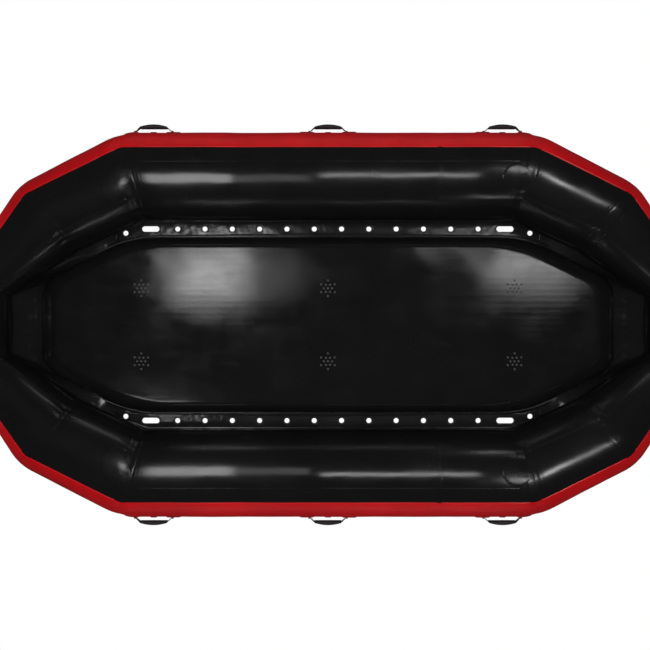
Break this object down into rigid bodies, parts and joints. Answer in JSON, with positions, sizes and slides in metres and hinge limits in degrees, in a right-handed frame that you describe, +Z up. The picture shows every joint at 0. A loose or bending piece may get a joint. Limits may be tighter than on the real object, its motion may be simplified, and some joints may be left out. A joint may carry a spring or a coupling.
{
  "type": "inflatable dinghy",
  "caption": "Inflatable self-bailing dinghy: an eight-sided ring of air tubes with rising tapered ends, an air floor on perforated strips, fold-out carry handles and capped valves.",
  "frame": {"origin": "on the ground under the middle of the boat, where its side tubes rest", "axes": "+X towards the bow, +Y to port, +Z up"},
  "size_m": [3.155, 1.736, 0.4091],
  "materials": {
    "black_coating": "gloss",
    "red_coating": "satin",
    "seam_tape": "gloss",
    "baffle_cloth": "matte",
    "floor_coating": "gloss",
    "drop_thread": "matte",
    "stud_rubber": "matte",
    "strip_cloth": "gloss",
    "valve_plastic": "satin",
    "poppet_plastic": "satin",
    "spring_steel": "satin",
    "red_webbing": "matte",
    "black_webbing": "matte",
    "grip_rubber": "matte"
  },
  "bodies": {
    "hull": {"side_tube_port": "black_coating", "side_tube_starboard": "black_coating", "bow_quarter_port": "black_coating", "bow_quarter_starboard": "black_coating", "stern_quarter_port": "black_coating", "stern_quarter_starboard": "black_coating", "bow_tube": "black_coating", "stern_tube": "black_coating", "side_wrap_port": "red_coating", "side_wrap_starboard": "red_coating", "bow_quarter_wrap_port": "red_coating", "bow_quarter_wrap_starboard": "red_coating", "stern_quarter_wrap_port": "red_coating", "stern_quarter_wrap_starboard": "red_coating", "bow_wrap": "red_coating", "stern_wrap": "red_coating", "joint_tapes": "seam_tape", "girth_tapes": "seam_tape", "round_patches": "seam_tape", "baffles": "baffle_cloth", "floor_top_skin": "floor_coating", "floor_bottom_skin": "floor_coating", "drop_stitch_rows": "drop_thread", "grip_studs": "stud_rubber", "drain_strip_port": "strip_cloth", "drain_strip_starboard": "strip_cloth", "bow_skirt": "strip_cloth", "stern_skirt": "strip_cloth", "valve_pads": "valve_plastic", "valve_bodies": "valve_plastic", "valve_nuts": "valve_plastic", "handle_bases": "red_webbing", "lifeline_loops": "red_webbing", "valve_spring_bow": "spring_steel", "valve_spring_stern": "spring_steel", "valve_spring_floor": "spring_steel"},
    "valve_cap_bow": {"valve_cap_bow": "valve_plastic"},
    "valve_poppet_bow": {"valve_poppet_bow": "poppet_plastic"},
    "valve_cap_stern": {"valve_cap_stern": "valve_plastic"},
    "valve_poppet_stern": {"valve_poppet_stern": "poppet_plastic"},
    "valve_cap_floor": {"valve_cap_floor": "valve_plastic"},
    "valve_poppet_floor": {"valve_poppet_floor": "poppet_plastic"},
    "handle_port_stern": {"strap_port_stern": "black_webbing", "grip_port_stern": "grip_rubber"},
    "handle_port_mid": {"strap_port_mid": "black_webbing", "grip_port_mid": "grip_rubber"},
    "handle_port_bow": {"strap_port_bow": "black_webbing", "grip_port_bow": "grip_rubber"},
    "handle_starboard_stern": {"strap_starboard_stern": "black_webbing", "grip_starboard_stern": "grip_rubber"},
    "handle_starboard_mid": {"strap_starboard_mid": "black_webbing", "grip_starboard_mid": "grip_rubber"},
    "handle_starboard_bow": {"strap_starboard_bow": "black_webbing", "grip_starboard_bow": "grip_rubber"},
    "handle_bow": {"strap_bow": "black_webbing", "grip_bow": "grip_rubber"},
    "handle_stern": {"strap_stern": "black_webbing", "grip_stern": "grip_rubber"}
  },
  "joints": [
    {"name": "cap_bow", "type": "hinge", "parent": "hull", "child": "valve_cap_bow", "pos_m": [1.4145, 0, 0.402], "axis": [0, -1, 0], "range_deg": [0, 90]},
    {"name": "poppet_bow", "type": "slide", "parent": "hull", "child": "valve_poppet_bow", "axis": [0, 0, -1], "range_m": [0, 0.006], "stiffness_N_per_m": 400, "springref_m": -0.008, "deforming": ["valve_spring_bow"]},
    {"name": "cap_stern", "type": "hinge", "parent": "hull", "child": "valve_cap_stern", "pos_m": [-1.4145, 0, 0.402], "axis": [0, 1, 0], "range_deg": [0, 90]},
    {"name": "poppet_stern", "type": "slide", "parent": "hull", "child": "valve_poppet_stern", "axis": [0, 0, -1], "range_m": [0, 0.006], "stiffness_N_per_m": 400, "springref_m": -0.008, "deforming": ["valve_spring_stern"]},
    {"name": "cap_floor", "type": "hinge", "parent": "hull", "child": "valve_cap_floor", "pos_m": [-1.25157, 0, 0.05694], "axis": [0, 1, 0], "range_deg": [0, 90]},
    {"name": "poppet_floor", "type": "slide", "parent": "hull", "child": "valve_poppet_floor", "axis": [0.4932, 0, 0.8699], "range_m": [0, 0.006], "stiffness_N_per_m": 400, "springref_m": -0.008, "deforming": ["valve_spring_floor"]},
    {"name": "handle_port_stern_fold", "type": "hinge", "parent": "hull", "child": "handle_port_stern", "pos_m": [-0.755, 0.837, 0.1875], "axis": [1, 0, 0], "range_deg": [-60, 60]},
    {"name": "handle_port_mid_fold", "type": "hinge", "parent": "hull", "child": "handle_port_mid", "pos_m": [0, 0.837, 0.1875], "axis": [1, 0, 0], "range_deg": [-60, 60]},
    {"name": "handle_port_bow_fold", "type": "hinge", "parent": "hull", "child": "handle_port_bow", "pos_m": [0.755, 0.837, 0.1875], "axis": [1, 0, 0], "range_deg": [-60, 60]},
    {"name": "handle_starboard_stern_fold", "type": "hinge", "parent": "hull", "child": "handle_starboard_stern", "pos_m": [-0.755, -0.837, 0.1875], "axis": [-1, 0, 0], "range_deg": [-60, 60]},
    {"name": "handle_starboard_mid_fold", "type": "hinge", "parent": "hull", "child": "handle_starboard_mid", "pos_m": [0, -0.837, 0.1875], "axis": [-1, 0, 0], "range_deg": [-60, 60]},
    {"name": "handle_starboard_bow_fold", "type": "hinge", "parent": "hull", "child": "handle_starboard_bow", "pos_m": [0.755, -0.837, 0.1875], "axis": [-1, 0, 0], "range_deg": [-60, 60]},
    {"name": "handle_bow_fold", "type": "hinge", "parent": "hull", "child": "handle_bow", "pos_m": [1.5465, 0, 0.2975], "axis": [0, -1, 0], "range_deg": [-60, 60]},
    {"name": "handle_stern_fold", "type": "hinge", "parent": "hull", "child": "handle_stern", "pos_m": [-1.5465, 0, 0.2975], "axis": [0, 1, 0], "range_deg": [-60, 60]}
  ]
}
